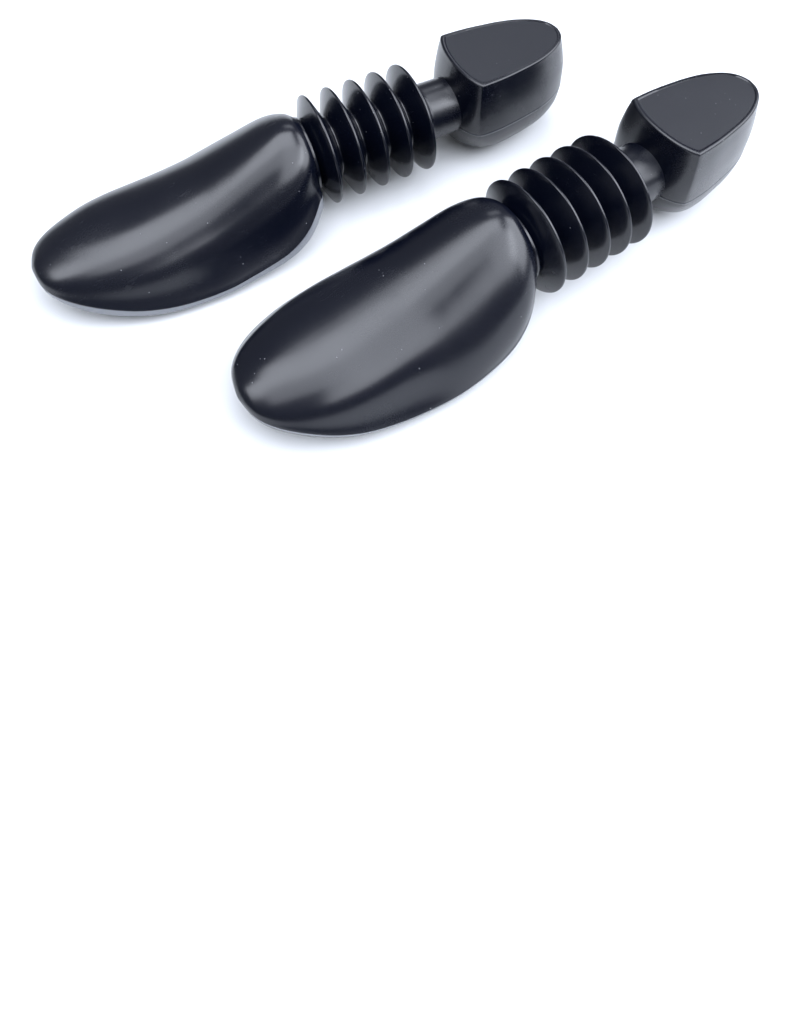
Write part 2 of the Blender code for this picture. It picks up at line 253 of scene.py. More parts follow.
# Level soft boxes over the pair: the near and far edge of each ahead of it, the left and right edge, and
# the radiance. Distances of the studio are in metres
LEVEL_BOXES = {
    "front_left_box": ((-0.27, 0.22), (-1.50, -0.75), 7.0),
    "front_right_box": ((-0.15, 0.51), (-0.75, 0.42), 6.5),
    "middle_box": ((-0.62, -0.15), (-0.75, -0.05), 3.5),
    "far_box": ((0.95, 1.55), (0.15, 0.80), 2.6),
    "rear_box": ((-1.80, -0.15), (-0.05, 0.98), 4.8),
}
BOX_HEIGHT = 1.2

# The soft box beside the pair: its bearing from the view, its distance, its extent and its radiance
SIDE_BOX_BEARING = math.radians(86.0)
SIDE_BOX_DISTANCE = 1.5
SIDE_BOX_EXTENT = (2.2, 1.4)
SIDE_BOX_RADIANCE = 6.0

FLOOR_ROUGHNESS = 0.85
SKY_COLOUR = (0.93, 0.96, 1.0, 1.0)
SKY_STRENGTHS = (0.20, 0.30)
SKY_TOP = 0.75
CLIP_START = 0.01


class StretcherSizes(bpy.types.PropertyGroup):
    """Sizes of one stretcher, in metres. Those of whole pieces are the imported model's own."""

    fold_radius: FloatProperty(name="Fold radius", description="Radius of a fold at its rim",
                               default=0.0250, unit="LENGTH")
    valley_radius: FloatProperty(name="Valley radius", description="Radius between two folds",
                                 default=0.0135, unit="LENGTH")
    fold_pitch: FloatProperty(name="Fold pitch", description="Distance from one fold to the next",
                              default=0.0112, unit="LENGTH")
    rim_half: FloatProperty(name="Rim half thickness", description="Half the thickness of a fold's rim",
                            default=0.00045, unit="LENGTH")
    fold_wall: FloatProperty(name="Fold wall", description="Thickness of a fold wall along the axis",
                             default=0.00108, unit="LENGTH")
    seam_depth: FloatProperty(name="Seam depth", description="How far below its rim a fold stays rigid",
                              default=0.0020, unit="LENGTH")
    axis_height: FloatProperty(name="Axis height", description="Height of the bellows axis",
                               default=0.0270, unit="LENGTH")
    collar_radius: FloatProperty(name="Collar radius", description="Radius of the flange behind the toe",
                                 default=0.0170, unit="LENGTH")
    collar_thickness: FloatProperty(name="Collar thickness", description="Thickness of the flange",
                                    default=0.0016, unit="LENGTH")
    collar_standoff: FloatProperty(name="Collar standoff", description="From the flange to the first fold",
                                   default=0.0064, unit="LENGTH")
    neck_radius: FloatProperty(name="Neck radius", description="Radius of the plain neck",
                               default=0.0133, unit="LENGTH")
    neck_showing: FloatProperty(name="Neck length", description="From the last fold to the heel's front",
                                default=0.0206, unit="LENGTH")
    neck_entry: FloatProperty(name="Neck entry", description="How far the neck goes into the heel",
                              default=0.0035, unit="LENGTH")
    toe_length: FloatProperty(name="Toe length", description="Length of the toe form",
                              default=0.1177, unit="LENGTH")
    toe_half_width: FloatProperty(name="Toe half width", description="Half the toe form's width",
                                  default=0.0349, unit="LENGTH")
    toe_height: FloatProperty(name="Toe height", description="Height the toe shares refer to",
                              default=0.0486, unit="LENGTH")
    heel_length: FloatProperty(name="Heel length", description="Length of the heel's top face",
                               default=0.0555, unit="LENGTH")
    heel_half_width: FloatProperty(name="Heel half width", description="Half the width of the heel's top",
                                   default=0.0192, unit="LENGTH")
    heel_top: FloatProperty(name="Heel top", description="Height of the heel's flat top",
                            default=0.0518, unit="LENGTH")
    clearance: FloatProperty(name="Clearance", description="Gap between touching pieces",
                             default=0.0003, unit="LENGTH")
    ridge: FloatProperty(name="Parting ridge", description="How far the parting line stands out",
                         default=0.00014, unit="LENGTH")
    pinch_off: FloatProperty(name="Pinch-off seam", description="How far the heel's rear seam stands out",
                             default=0.00035, unit="LENGTH")
    turn_steps: IntProperty(name="Turn steps", description="Steps round a turned piece", default=96, min=12)


class PlasticColours(bpy.types.PropertyGroup):
    """Colours and gloss of the moulded plastic."""

    body: FloatVectorProperty(name="Body", description="Colour of the plastic", subtype="COLOR", size=3,
                              default=(0.0012, 0.0020, 0.0060))
    worn: FloatVectorProperty(name="Worn", description="Colour where it is rubbed", subtype="COLOR", size=3,
                              default=(0.0100, 0.0115, 0.0160))
    dust: FloatVectorProperty(name="Dust", description="Colour of the specks", subtype="COLOR", size=3,
                              default=(0.16, 0.165, 0.18))
    # Pale colour for the painted reflection of the floor down the sole's steep side and the painted
    # highlight along the heel's parting line
    painted_reflection: FloatVectorProperty(name="Sole side", description="Colour of the sole's rubbed side",
                                   subtype="COLOR", size=3, default=(0.16, 0.17, 0.19))
    roughness: FloatProperty(name="Roughness", description="Roughness of the clean plastic",
                             subtype="FACTOR", default=0.25, min=0.0, max=1.0)


class StudioSettings(bpy.types.PropertyGroup):
    """The floor, the lights and the camera of the studio."""

    floor_side: FloatProperty(name="Floor side", description="Side of the floor", default=6.0, unit="LENGTH")
    floor_colour: FloatVectorProperty(name="Floor", description="Colour of the floor", subtype="COLOR",
                                      size=3, default=(0.62, 0.633, 0.648))
    camera_place: FloatVectorProperty(name="Camera place", description="From under the left middle fold",
                                      subtype="TRANSLATION", size=3, default=(-0.1653, -0.1301, 0.2832))
    look: FloatProperty(name="Look direction", description="Heading of the view, from the X axis",
                        default=math.radians(57.21), subtype="ANGLE")
    look_down: FloatProperty(name="Look down", description="How far the view is tilted down",
                             default=math.radians(49.49), subtype="ANGLE")
    focal_share: FloatProperty(name="Focal share", description="Focal length over the picture's height",
                               default=788.1 / 1023.0)
    box_turn: FloatProperty(name="Box turn", description="Turn of the soft boxes from the look direction",
                            default=math.radians(17.4), subtype="ANGLE")
    shift_up: FloatProperty(name="Shift", description="Lens shift as a share of the picture's height",
                            default=-335.8 / 1023.0)
    light_colour: FloatVectorProperty(name="Light", description="Colour of the light", subtype="COLOR",
                                      size=3, default=(0.87, 0.91, 1.0))


def sizes():
    return bpy.context.scene.stretcher_sizes


def joint_named(name):
    return next(joint for joint in frame["joints"] if joint["name"] == name)


def stretcher_matrix(hand):
    """The place of one stretcher: X from toe to heel, Y to its inner side, origin under its middle fold."""
    first = Vector(joint_named(f"{hand}_swing_1")["pos_m"])
    last = Vector(joint_named(f"{hand}_swing_2")["pos_m"])
    along = (last - first).normalized()
    up = Vector((0.0, 0.0, 1.0))
    inward = up.cross(along) * (1.0 if hand == "left" else -1.0)
    middle = (first + last) / 2.0
    middle.z = 0.0
    turned_to = Matrix((along, inward, up)).transposed().to_4x4()
    return Matrix.Translation(middle) @ turned_to


def fold_place(fold):
    """Place of a fold's middle along the axis, counted from 1."""
    return (fold - (FOLDS + 1) / 2.0) * sizes().fold_pitch


def wall_place(radius):
    """Distance of a fold wall's outer face from the fold's middle, at a radius."""
    size = sizes()
    slope = (size.fold_pitch / 2.0 - 2.0 * size.rim_half) / (size.fold_radius - size.valley_radius)
    return size.rim_half + slope * (size.fold_radius - radius)


def finished(bm, name, hand, part, sharp):
    """The bmesh as an object in the plastic of its kind, with its place in its mesh."""
    bmesh.ops.transform(bm, matrix=stretcher_matrix(hand), verts=bm.verts)
    bmesh.ops.recalc_face_normals(bm, faces=bm.faces)
    mesh = bpy.data.meshes.new(name)
    bm.to_mesh(mesh)
    bm.free()
    mesh.shade_smooth()
    mesh.set_sharp_from_angle(angle=sharp)
    mesh.materials.append(plastic_for(part))
    made = bpy.data.objects.new(name, mesh)
    bpy.context.scene.collection.objects.link(made)
    return made


def rounded(corners):
    """Points round a closed outline of (along, radius, corner radius) with its corners as arcs."""
    points = []
    for index, (x, y, bend) in enumerate(corners):
        here = Vector((x, y))
        before = Vector(corners[index - 1][:2]) - here
        after = Vector(corners[(index + 1) % len(corners)][:2]) - here
        if bend <= 0.0:
            points.append(here)
            continue
        half = before.angle(after) / 2.0
        reach = min(bend / math.tan(half), CORNER_REACH_SHARE * before.length,
                    CORNER_REACH_SHARE * after.length)
        arc = reach * math.tan(half)
        middle = here + (before.normalized() + after.normalized()).normalized() * (arc / math.sin(half))
        start = here + before.normalized() * reach - middle
        end = here + after.normalized() * reach - middle
        sweep = start.angle_signed(end)
        for step in range(ARC_STEPS + 1):
            turn = Matrix.Rotation(-sweep * step / ARC_STEPS, 2)
            points.append(middle + turn @ start)
    return points


def turned(outline, middle):
    """A closed outline of (along, radius) points spun round the bellows axis."""
    size = sizes()
    bm = bmesh.new()
    verts = [bm.verts.new((middle + x, 0.0, size.axis_height + radius)) for x, radius in outline]
    edges = [bm.edges.new((verts[index - 1], vert)) for index, vert in enumerate(verts)]
    bmesh.ops.spin(bm, geom=verts + edges, cent=(0.0, 0.0, size.axis_height), axis=(1.0, 0.0, 0.0),
                   angle=TAU, steps=size.turn_steps, use_merge=True)
    bmesh.ops.remove_doubles(bm, verts=bm.verts, dist=MERGE_DISTANCE)
    return bm


def along_line(start, end, steps):
    """Points from start to end, both included."""
    return [tuple(a + (b - a) * step / steps for a, b in zip(start, end)) for step in range(steps + 1)]


def smooth_row(table, place):
    """A row of a share table at a fractional index, on a smooth curve through the rows."""
    last = len(table) - 1
    index = min(int(place), last - 1)
    share = place - index
    rows = [table[min(max(index + step, 0), last)] for step in (-1, 0, 1, 2)]
    row = []
    for a, b, c, d in zip(*rows):
        row.append(0.5 * (2.0 * b + (c - a) * share + (2.0 * a - 5.0 * b + 4.0 * c - d) * share ** 2
                          + (3.0 * b - a - 3.0 * c + d) * share ** 3))
    return row


def lofted(rings):
    """A closed skin over rings of points, each extruded from the one before, with its ends fanned."""
    bm = bmesh.new()
    ring = bmesh.ops.create_circle(bm, cap_ends=False, radius=1.0, segments=len(rings[0]))["verts"]
    edges = list({edge for vert in ring for edge in vert.link_edges})
    ends = [edges]
    for index, points in enumerate(rings):
        if index > 0:
            made = bmesh.ops.extrude_edge_only(bm, edges=edges)["geom"]
            fresh = {item for item in made if isinstance(item, bmesh.types.BMVert)}
            ring = [next(edge.other_vert(vert) for edge in vert.link_edges if edge.other_vert(vert) in fresh)
                    for vert in ring]
            edges = [item for item in made
                     if isinstance(item, bmesh.types.BMEdge) and fresh.issuperset(item.verts)]
        for vert, point in zip(ring, points):
            vert.co = point
    ends.append(edges)
    for end in ends:
        cap = bmesh.ops.contextual_create(bm, geom=end)["faces"]
        bmesh.ops.poke(bm, faces=cap)
    return bm


class Sock:
    """A shader socket that takes arithmetic, adding the Math nodes that it needs."""

    def __init__(self, tree, socket):
        self.tree = tree
        self.socket = socket

    def maths(self, operation, *values):
        """A Math node on two values, in their order."""
        made = add_node(self.tree, "ShaderNodeMath", {"operation": operation})
        for slot, value in zip(made.inputs, values):
            set_input(self.tree, slot, value)
        return Sock(self.tree, made.outputs[0])

    def __add__(self, other):
        return self.maths("ADD", self, other)

    def __radd__(self, other):
        return self.maths("ADD", other, self)

    def __mul__(self, other):
        return self.maths("MULTIPLY", self, other)

    def __rmul__(self, other):
        return self.maths("MULTIPLY", other, self)

    def fit(self, low, high, to_low=0.0, to_high=1.0):
        """The value mapped from one range to another and kept inside it."""
        made = add_node(self.tree, "ShaderNodeMapRange", {"clamp": True}, Value=self, From_Min=low,
                        From_Max=high, To_Min=to_low, To_Max=to_high)
        return Sock(self.tree, made.outputs["Result"])

    def band(self, middle, half_widths):
        """1 around a middle, down to 0 at the second of two half widths."""
        full, end = half_widths
        return self.fit(middle - end, middle - full) * self.fit(middle + full, middle + end, 1.0, 0.0)


def set_input(tree, slot, value):
    if isinstance(value, Sock):
        tree.links.new(value.socket, slot)
    elif isinstance(value, bpy.types.NodeSocket):
        tree.links.new(value, slot)
    else:
        slot.default_value = value


def add_node(tree, kind, settings=None, **inputs):
    """A node of a kind, with its settings made first and then the values or links of its sockets."""
    made = tree.nodes.new(kind)
    for name, value in (settings or {}).items():
        setattr(made, name, value)
    for name, value in inputs.items():
        set_input(tree, made.inputs[name.replace("_", " ")], value)
    return made


def noise(tree, kind, place):
    scale, detail, roughness, distortion = NOISES[kind]
    made = add_node(tree, "ShaderNodeTexNoise", Vector=place, Scale=scale, Detail=detail,
                    Roughness=roughness, Distortion=distortion)
    return Sock(tree, made.outputs["Fac"])


def mixed(tree, share, below, above):
    """One colour laid over another by a share."""
    made = add_node(tree, "ShaderNodeMix", {"data_type": "RGBA"}, Factor=share, A=below, B=(*above, 1.0))
    return made.outputs["Result"]


def satin_plastic(name, part):
    """Moulded satin plastic: cloudy gloss, fine grain, rubbed streaks and dust specks, with a painted
    reflection of the floor down the sole's steep side, a painted highlight along the heel's parting line and
    the matte flat on its top."""
    colours = bpy.context.scene.plastic_colours
    heel_top = sizes().heel_top
    stretch, speck_scale, rougher = FINISHES[part]
    flat_at = heel_top - HEEL_SINK if part == "heel" else NOWHERE
    # Height of the painted highlight along the heel's parting line; other pieces have none
    seam_highlight_at = heel_top * HEEL_PARTING_SHARE if part == "heel" else NOWHERE
    made = bpy.data.materials.new(name)
    made.use_nodes = True
    tree = made.node_tree
    shader = tree.nodes["Principled BSDF"]
    place = add_node(tree, "ShaderNodeTexCoord").outputs["Object"]
    long_way = add_node(tree, "ShaderNodeMapping", Vector=place, Scale=stretch).outputs[0]
    streak = noise(tree, "streaks", long_way)
    cloud = noise(tree, "clouds", place)
    grain = noise(tree, "grain", place)
    ripple = noise(tree, "ripple", place)
    picked = noise(tree, "speck_pick", place).fit(*SPECK_PICK)
    cells = add_node(tree, "ShaderNodeTexVoronoi", {"feature": "F1"}, Vector=place, Scale=speck_scale)
    speck = Sock(tree, cells.outputs["Distance"]).fit(*SPECK_EDGE) * picked
    rubbed = streak.fit(*RUBBED_STREAKS) * cloud.fit(*RUBBED_CLOUDS)
    height = Sock(tree, add_node(tree, "ShaderNodeSeparateXYZ", Vector=place).outputs["Z"])
    # Painted highlight: a pale line along the heel's parting ridge, uneven with the clouds
    seam = height.band(seam_highlight_at, SEAM_HIGHLIGHT_HALF_WIDTHS) * cloud.fit(*SEAM_HIGHLIGHT_CLOUDS)
    matte = height.band(flat_at, FLAT_HALF_WIDTHS) * FLAT_ROUGHNESS
    # Painted reflection of the floor: pale down the sole's steep side, fading out further down
    side = add_node(tree, "ShaderNodeAttribute", {"attribute_name": "side_depth"})
    depth = Sock(tree, side.outputs["Fac"])
    painted_side_reflection = depth.fit(*PAINTED_SIDE_START) * depth.fit(*PAINTED_SIDE_END)
    colour = mixed(tree, rubbed * RUBBED_TONE, (*colours.body, 1.0), colours.worn)
    colour = mixed(tree, speck * SPECK_TONE, colour, colours.dust)
    # Both painted marks, the floor reflection on the sole side and the highlight on the heel line, take the
    # pale colour
    colour = mixed(tree, painted_side_reflection + seam, colour, colours.painted_reflection)
    set_input(tree, shader.inputs["Base Color"], colour)
    rough = colours.roughness + rougher + matte + cloud.fit(*CLOUD_ROUGHNESS)
    rough = rough + rubbed * RUBBED_ROUGHNESS + speck * SPECK_ROUGHNESS + grain.fit(*GRAIN_ROUGHNESS)
    set_input(tree, shader.inputs["Roughness"], rough)
    relief = add_node(tree, "ShaderNodeBump", Height=ripple + grain * GRAIN_RELIEF + speck * SPECK_RELIEF,
                      Distance=RELIEF_HEIGHT, Strength=RELIEF_STRENGTH)
    set_input(tree, shader.inputs["Normal"], relief.outputs["Normal"])
    shader.inputs["IOR"].default_value = PLASTIC_IOR
    return made


def plastic_for(part):
    """The plastic of one kind of piece, made once."""
    name = f"satin_plastic_{part}"
    if name in bpy.data.materials:
        return bpy.data.materials[name]
    return satin_plastic(name, part)


def crest_rise(share, skew, crest_power, shoulder_power):
    """Height share of the toe form's top at a share of its half width, on a crest rounded off a little."""
    shifted = share - skew * (1.0 - share ** 2)
    reach = math.hypot(shifted, CREST_SOFTNESS_SHARE) - CREST_SOFTNESS_SHARE
    full = math.hypot(1.0, CREST_SOFTNESS_SHARE) - CREST_SOFTNESS_SHARE
    return max(0.0, 1.0 - (reach / full) ** crest_power) ** (1.0 / shoulder_power)


def flank_lean(along_share, across, rise):
    """How far the flank above the parting line leans inwards, as a share of the toe form's height above
    that line. It leans less on the outer side of the rear."""
    reached = min(max((along_share - FLANK_EASE_START_SHARE) / FLANK_EASE_SPAN_SHARE, 0.0), 1.0)
    ease = reached ** 2 * (3.0 - 2.0 * reached) * (1.0 - across) / 2.0
    fade = max(0.0, 1.0 - rise / FLANK_LEAN_REACH_SHARE) ** 2
    return (FLANK_LEAN_SHARE - FLANK_EASE_SHARE * ease) * rise * fade


def toe_ring(row):
    """One closed section of the toe form, upper half first, with the parting line as a small ridge."""
    size = sizes()
    along_share, centre_share, half_share, top_share, parting_share, sole_share, *crest = row
    rear = fold_place(1) - size.collar_standoff - size.collar_thickness / 2.0 - size.clearance
    along = rear - size.toe_length * (1.0 - along_share)
    middle, reach = centre_share * size.toe_half_width, max(half_share, 0.0) * size.toe_half_width
    level, top = parting_share * size.toe_height, top_share * size.toe_height
    sole = min(max(sole_share, 0.0) * size.toe_height, level)
    lip = min(LIP, LIP_LIMIT_SHARE * (top - level), LIP_LIMIT_SHARE * (level - sole))
    turns = [math.pi * step / TOE_COLUMNS for step in range(TOE_COLUMNS + 1)]
    points = [(along, middle + (reach + size.ridge), level)]
    shoulder = level + UPPER_LIP_SHARE * lip
    for turn in turns:
        across = math.cos(turn)
        rise = crest_rise(across, *crest)
        lean = flank_lean(along_share, across, rise) * (top - shoulder)
        points.append((along, middle + (reach - lean) * across, shoulder + (top - shoulder) * rise))
    points.append((along, middle - (reach + size.ridge), level))
    shoulder = level - lip
    for turn in turns:
        across = -math.copysign(abs(math.cos(turn)) ** (2.0 / SOLE_POWER), math.cos(turn))
        rise = min(1.0, math.sin(turn) ** (2.0 / SOLE_POWER) / SOLE_FLAT_SHARE)
        side = level - SOLE_SIDE_SHARES[across < 0.0] * (level - sole)
        points.append((along, middle + reach * across, min(shoulder + (sole - shoulder) * rise, side)))
    return points


def mark_sole_side(bm, rings):
    """Keep on each point how far down the sole's steep side it lies, as a share of that side's depth."""
    # The depth kept here places the painted reflection of the floor down the sole's side
    depth = bm.verts.layers.float.new("side_depth")
    places = [ring[0][0] for ring in rings]
    levels = [ring[0][2] for ring in rings]
    soles = [min(point[2] for point in ring) for ring in rings]
    middles = [sum(point[1] for point in ring) / len(ring) for ring in rings]
    for vert in bm.verts:
        level, sole, middle = (np.interp(vert.co.x, places, values) for values in (levels, soles, middles))
        side = max(SOLE_SIDE_SHARES[bool(vert.co.y < middle)] * (level - sole), sizes().ridge)
        vert[depth] = max(0.0, float((level - vert.co.z) / side))


class OBJECT_OT_toe_forms(bpy.types.Operator):
    """Build the smooth toe form of each stretcher."""

    bl_idname = "stretcher.toe_forms"
    bl_label = "Toe Forms"

    def execute(self, context):
        count = (len(TOE_STATION_SHARES) - 1) * TOE_ROW_STEPS
        for hand in HANDS:
            rings = [toe_ring(smooth_row(TOE_STATION_SHARES, step / TOE_ROW_STEPS))
                     for step in range(1, count + 1)]
            bm = lofted(rings)
            mark_sole_side(bm, rings)
            made = finished(bm, f"{hand}_toe_form", hand, "toe", BLOCK_SHARP)
            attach(made, f"{hand}_toe")
            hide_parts(f"{hand}_toe_upper", f"{hand}_toe_sole")
        return {"FINISHED"}


def seam_radii():
    """Radii where the rigid crest and valley give way to the wall."""
    size = sizes()
    return size.fold_radius - size.seam_depth, size.valley_radius + size.seam_depth


def crest_outline():
    size = sizes()
    high, _ = seam_radii()
    outer = wall_place(high)
    inner = outer - size.fold_wall
    return rounded([(-outer, high, 0.0), (-size.rim_half, size.fold_radius, size.rim_half),
                    (size.rim_half, size.fold_radius, size.rim_half), (outer, high, 0.0),
                    (inner, high, 0.0), (-inner, high, 0.0)])


def valley_outline():
    size = sizes()
    _, low = seam_radii()
    outer = size.fold_pitch / 2.0 - wall_place(low)
    bore = size.valley_radius - size.fold_wall
    return rounded([(-outer - size.fold_wall, low, 0.0), (-outer, low, 0.0),
                    (-size.rim_half, size.valley_radius, VALLEY_CORNER),
                    (size.rim_half, size.valley_radius, VALLEY_CORNER),
                    (outer, low, 0.0), (outer + size.fold_wall, low, 0.0),
                    (size.rim_half, bore, 0.0), (-size.rim_half, bore, 0.0)])


def wall_outline(side):
    """The wall of a fold on its toe side (-1) or heel side (+1), from the crest's seam to the valley's."""
    size = sizes()
    high, low = seam_radii()
    face = along_line((wall_place(high), high), (wall_place(low), low), WALL_STEPS)
    back = [(x - size.fold_wall, radius) for x, radius in reversed(face)]
    return [(side * x, radius) for x, radius in face + back]


class OBJECT_OT_bellows(bpy.types.Operator):
    """Build the folds of each bellows: rigid crests and valleys, and the walls between them."""

    bl_idname = "stretcher.bellows"
    bl_label = "Bellows"

    def execute(self, context):
        size = sizes()
        high, low = seam_radii()
        for hand in HANDS:
            place = stretcher_matrix(hand)
            for fold in range(1, FOLDS + 1):
                middle = fold_place(fold)
                bm = turned(crest_outline(), middle)
                crest = finished(bm, f"{hand}_fold_rim_{fold}", hand, "bellows", FOLD_SHARP)
                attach(crest, f"{hand}_fold_{fold}")
                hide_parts(f"{hand}_crest_{fold}")
                for side, word in ((-1, "front"), (1, "rear")):
                    bm = turned(wall_outline(side), middle)
                    wall = finished(bm, f"{hand}_fold_wall_{fold}_{word}", hand, "bellows", FOLD_SHARP)
                    start = place @ Vector((middle + side * wall_place(high), 0.0, size.axis_height))
                    end = place @ Vector((middle + side * wall_place(low), 0.0, size.axis_height))
                    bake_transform(wall)
            for valley in range(1, FOLDS):
                bm = turned(valley_outline(), fold_place(valley) + size.fold_pitch / 2.0)
                made = finished(bm, f"{hand}_valley_ring_{valley}", hand, "bellows", FOLD_SHARP)
                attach(made, f"{hand}_valley_{valley}")
                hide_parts(f"{hand}_root_{valley}")
        return {"FINISHED"}


class OBJECT_OT_collars(bpy.types.Operator):
    """Build the flange between each toe form and its first fold."""

    bl_idname = "stretcher.collars"
    bl_label = "Collars"

    def execute(self, context):
        size = sizes()
        _, low = seam_radii()
        half = size.collar_thickness / 2.0
        bore = size.valley_radius - size.fold_wall
        outer = size.collar_standoff - wall_place(low)
        valley = size.collar_standoff - wall_place(size.valley_radius)
        outline = rounded([(-half, bore, 0.0), (-half, size.collar_radius, COLLAR_FRONT_CORNER),
                           (half, size.collar_radius, COLLAR_REAR_CORNER),
                           (half, size.valley_radius, COLLAR_FOOT_CORNER),
                           (valley, size.valley_radius, COLLAR_FOOT_CORNER), (outer, low, 0.0),
                           (outer + size.fold_wall, low, 0.0), (valley + size.fold_wall, bore, 0.0)])
        for hand in HANDS:
            bm = turned(outline, fold_place(1) - size.collar_standoff)
            made = finished(bm, f"{hand}_collar_ring", hand, "bellows", TUBE_SHARP)
            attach(made, f"{hand}_toe")
            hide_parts(f"{hand}_collar")
        return {"FINISHED"}


class OBJECT_OT_necks(bpy.types.Operator):
    """Build the plain neck of each stretcher, with its parting line."""

    bl_idname = "stretcher.necks"
    bl_label = "Necks"

    def execute(self, context):
        size = sizes()
        _, low = seam_radii()
        outer = wall_place(low)
        valley = wall_place(size.valley_radius)
        end = size.neck_showing + size.neck_entry
        bore = size.neck_radius - NECK_WALL
        outline = rounded([(outer - size.fold_wall, low, 0.0), (outer, low, 0.0),
                           (valley, size.valley_radius, VALLEY_CORNER),
                           (valley + NECK_SLOPE, size.neck_radius, NECK_CORNER),
                           (end, size.neck_radius, 0.0), (end, bore, 0.0), (valley, bore, 0.0)])
        line_start = fold_place(FOLDS) + valley + NECK_LINE_START
        parting = HEEL_PARTING_SHARE * size.heel_top
        for hand in HANDS:
            bm = turned(outline, fold_place(FOLDS))
            for vert in bm.verts:
                radius = math.hypot(vert.co.y, vert.co.z - size.axis_height)
                on_tube = vert.co.x > line_start and radius > size.neck_radius - NECK_SKIN
                if on_tube and abs(vert.co.z - parting) < NECK_LINE_HALF_WIDTH:
                    vert.co.y *= 1.0 + size.ridge / size.neck_radius
            made = finished(bm, f"{hand}_neck_tube", hand, "neck", TUBE_SHARP)
            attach(made, f"{hand}_heel")
            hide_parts(f"{hand}_neck")
        return {"FINISHED"}


def heel_outline(level, outset):
    """One closed outline of the heel block at a level, moved outwards by a distance."""
    size = sizes()
    height_share, length_share, width_share, shift_share, soft_share = level
    front = fold_place(FOLDS) + size.neck_showing
    length_share += 2.0 * outset / size.heel_length
    width_share += outset / size.heel_half_width
    shift_share -= outset / size.heel_length
    half = []
    for step in range((len(HEEL_PLAN_SHARES) - 1) * HEEL_PLAN_STEPS + 1):
        row = smooth_row(HEEL_PLAN_SHARES, step / HEEL_PLAN_STEPS)
        crisp_along, crisp_reach, soft_along, soft_reach = row
        along_share = crisp_along + (soft_along - crisp_along) * soft_share
        reach_share = crisp_reach + (soft_reach - crisp_reach) * soft_share
        half.append((front + size.heel_length * (shift_share + along_share * length_share),
                     size.heel_half_width * reach_share * width_share, size.heel_top * height_share))
    if PINCH_OFF_SHARES[0] < height_share < PINCH_OFF_SHARES[1]:
        half[-1] = (half[-1][0] + size.pinch_off, *half[-1][1:])
    return half + [(x, -y, z) for x, y, z in half[-2:0:-1]]


def heel_levels():
    """Levels of the heel block from the top down, each with its outset: the sunk flat of the top face, its
    border, the rounded edge, the side down to the parting ridge, and the underside."""
    size = sizes()
    flat = (1.0, 1.0, 0.0, 0.0)
    levels = [((1.0 - drop / size.heel_top, *flat), -inset) for inset, drop in HEEL_TOP_STEPS]
    for step in range(HEEL_EDGE_STEPS + 1):
        angle = math.pi / 2.0 * step / HEEL_EDGE_STEPS
        drop = HEEL_EDGE * (1.0 - math.cos(angle))
        levels.append(((1.0 - drop / size.heel_top, *flat), -HEEL_EDGE * (1.0 - math.sin(angle))))
    for step in range(1, (len(HEEL_LEVEL_SHARES) - 1) * HEEL_LEVEL_STEPS + 1):
        row = smooth_row(HEEL_LEVEL_SHARES, step / HEEL_LEVEL_STEPS)
        if math.isclose(row[0], HEEL_PARTING_SHARE):
            levels += [((row[0] + offset, *row[1:]), out * size.ridge) for offset, out in HEEL_RIDGE_SHARES]
        else:
            levels.append((row, 0.0))
    return levels


class OBJECT_OT_heel_blocks(bpy.types.Operator):
    """Build the heel block of each stretcher, with its flat top and its parting line."""

    bl_idname = "stretcher.heel_blocks"
    bl_label = "Heel Blocks"

    def execute(self, context):
        for hand in HANDS:
            bm = lofted([heel_outline(level, outset) for level, outset in heel_levels()])
            made = finished(bm, f"{hand}_heel_block", hand, "heel", BLOCK_SHARP)
            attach(made, f"{hand}_heel")
            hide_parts(f"{hand}_heel_upper", f"{hand}_heel_lower")
        return {"FINISHED"}


def soft_box(name, extent, radiance, place, turn):
    """A rectangular light of a width and a height, as bright from all of its face."""
    data = bpy.data.lights.new(name, "AREA")
    data.shape = "RECTANGLE"
    data.size, data.size_y = extent
    data.energy = radiance * math.pi * extent[0] * extent[1]
    data.color = bpy.context.scene.studio_settings.light_colour
    made = bpy.data.objects.new(name, data)
    made.location = place
    made.rotation_euler = turn.to_euler()
    bpy.context.scene.collection.objects.link(made)


def level_box(name, ahead, across, radiance):
    """A level soft box over the pair. Its edges are distances ahead of the pair and to its right."""
    studio = bpy.context.scene.studio_settings
    turn = Matrix.Rotation(studio.look + studio.box_turn - math.pi / 2.0, 3, "Z")
    middle = turn @ Vector((sum(across) / 2.0, sum(ahead) / 2.0, BOX_HEIGHT))
    soft_box(name, (across[1] - across[0], ahead[1] - ahead[0]), radiance, middle, turn)


def side_box(name):
    """A soft box that stands to the right of the pair and looks down at it."""
    heading = bpy.context.scene.studio_settings.look - SIDE_BOX_BEARING
    out = SIDE_BOX_DISTANCE
    place = Vector((out * math.cos(heading), out * math.sin(heading), BOX_HEIGHT))
    soft_box(name, SIDE_BOX_EXTENT, SIDE_BOX_RADIANCE, place, (-place).to_track_quat("-Z", "Y"))


def paper_floor():
    """The plain pale floor."""
    studio = bpy.context.scene.studio_settings
    bm = bmesh.new()
    bmesh.ops.create_grid(bm, x_segments=1, y_segments=1, size=studio.floor_side / 2.0)
    mesh = bpy.data.meshes.new("studio_floor")
    bm.to_mesh(mesh)
    bm.free()
    paper = bpy.data.materials.new("studio_floor")
    paper.use_nodes = True
    shader = paper.node_tree.nodes["Principled BSDF"]
    shader.inputs["Base Color"].default_value = (*studio.floor_colour, 1.0)
    shader.inputs["Roughness"].default_value = FLOOR_ROUGHNESS
    mesh.materials.append(paper)
    floor = bpy.data.objects.new("studio_floor", mesh)
    bpy.context.scene.collection.objects.link(floor)
    return floor


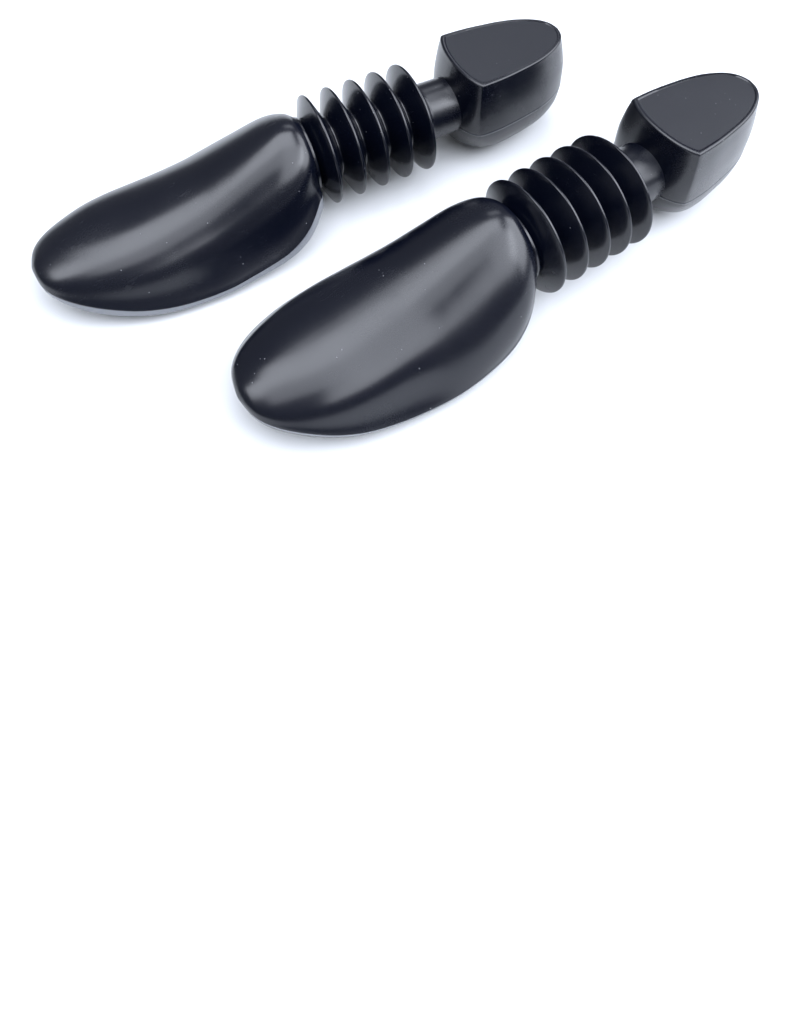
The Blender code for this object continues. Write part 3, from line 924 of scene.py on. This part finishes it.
def view_camera():
    """The camera at the photograph's viewing angle."""
    studio = bpy.context.scene.studio_settings
    data = bpy.data.cameras.new("studio_camera")
    data.lens = data.sensor_width * studio.focal_share
    data.shift_y = studio.shift_up
    data.clip_start = CLIP_START
    camera = bpy.data.objects.new("studio_camera", data)
    camera.location = stretcher_matrix("left").translation + Vector(studio.camera_place)
    camera.rotation_euler = (math.pi / 2.0 - studio.look_down, 0.0, studio.look - math.pi / 2.0)
    bpy.context.scene.collection.objects.link(camera)
    return camera


def soft_sky():
    """A dim, even light from all sides that grows a little towards the top."""
    world = bpy.data.worlds.new("studio_world")
    world.use_nodes = True
    tree = world.node_tree
    direction = add_node(tree, "ShaderNodeTexCoord").outputs["Generated"]
    split = add_node(tree, "ShaderNodeSeparateXYZ", Vector=direction)
    strength = Sock(tree, split.outputs["Z"]).fit(0.0, SKY_TOP, *SKY_STRENGTHS)
    background = tree.nodes["Background"]
    background.inputs["Color"].default_value = SKY_COLOUR
    set_input(tree, background.inputs["Strength"], strength)
    return world


class OBJECT_OT_studio(bpy.types.Operator):
    """Build the floor, the lights and the camera."""

    bl_idname = "stretcher.studio"
    bl_label = "Studio"

    def execute(self, context):
        paper_floor()
        context.scene.camera = view_camera()
        for name, (ahead, across, radiance) in LEVEL_BOXES.items():
            level_box(name, ahead, across, radiance)
        side_box("side_box")
        context.scene.world = soft_sky()
        context.scene.view_settings.view_transform = "Standard"
        return {"FINISHED"}


class VIEW3D_PT_stretcher(bpy.types.Panel):
    """The steps that build the pair, in order."""

    bl_label = "Shoe Stretcher Pair"
    bl_space_type = "VIEW_3D"
    bl_region_type = "UI"
    bl_category = "Stretcher"

    def draw(self, context):
        for step in STEPS:
            self.layout.operator(step.bl_idname)


STEPS = (OBJECT_OT_studio, OBJECT_OT_toe_forms, OBJECT_OT_collars, OBJECT_OT_bellows, OBJECT_OT_necks,
         OBJECT_OT_heel_blocks)
GROUPS = {"stretcher_sizes": StretcherSizes, "plastic_colours": PlasticColours,
          "studio_settings": StudioSettings}


def register():
    for made in (*GROUPS.values(), *STEPS, VIEW3D_PT_stretcher):
        bpy.utils.register_class(made)
    for name, group in GROUPS.items():
        setattr(bpy.types.Scene, name, PointerProperty(type=group))


def unregister():
    for name in GROUPS:
        delattr(bpy.types.Scene, name)
    for made in reversed((*GROUPS.values(), *STEPS, VIEW3D_PT_stretcher)):
        bpy.utils.unregister_class(made)


def main():
    register()
    bpy.ops.stretcher.studio()
    bpy.ops.stretcher.toe_forms()
    bpy.ops.stretcher.collars()
    bpy.ops.stretcher.bellows()
    bpy.ops.stretcher.necks()
    bpy.ops.stretcher.heel_blocks()


if __name__ == "__main__":
    main()
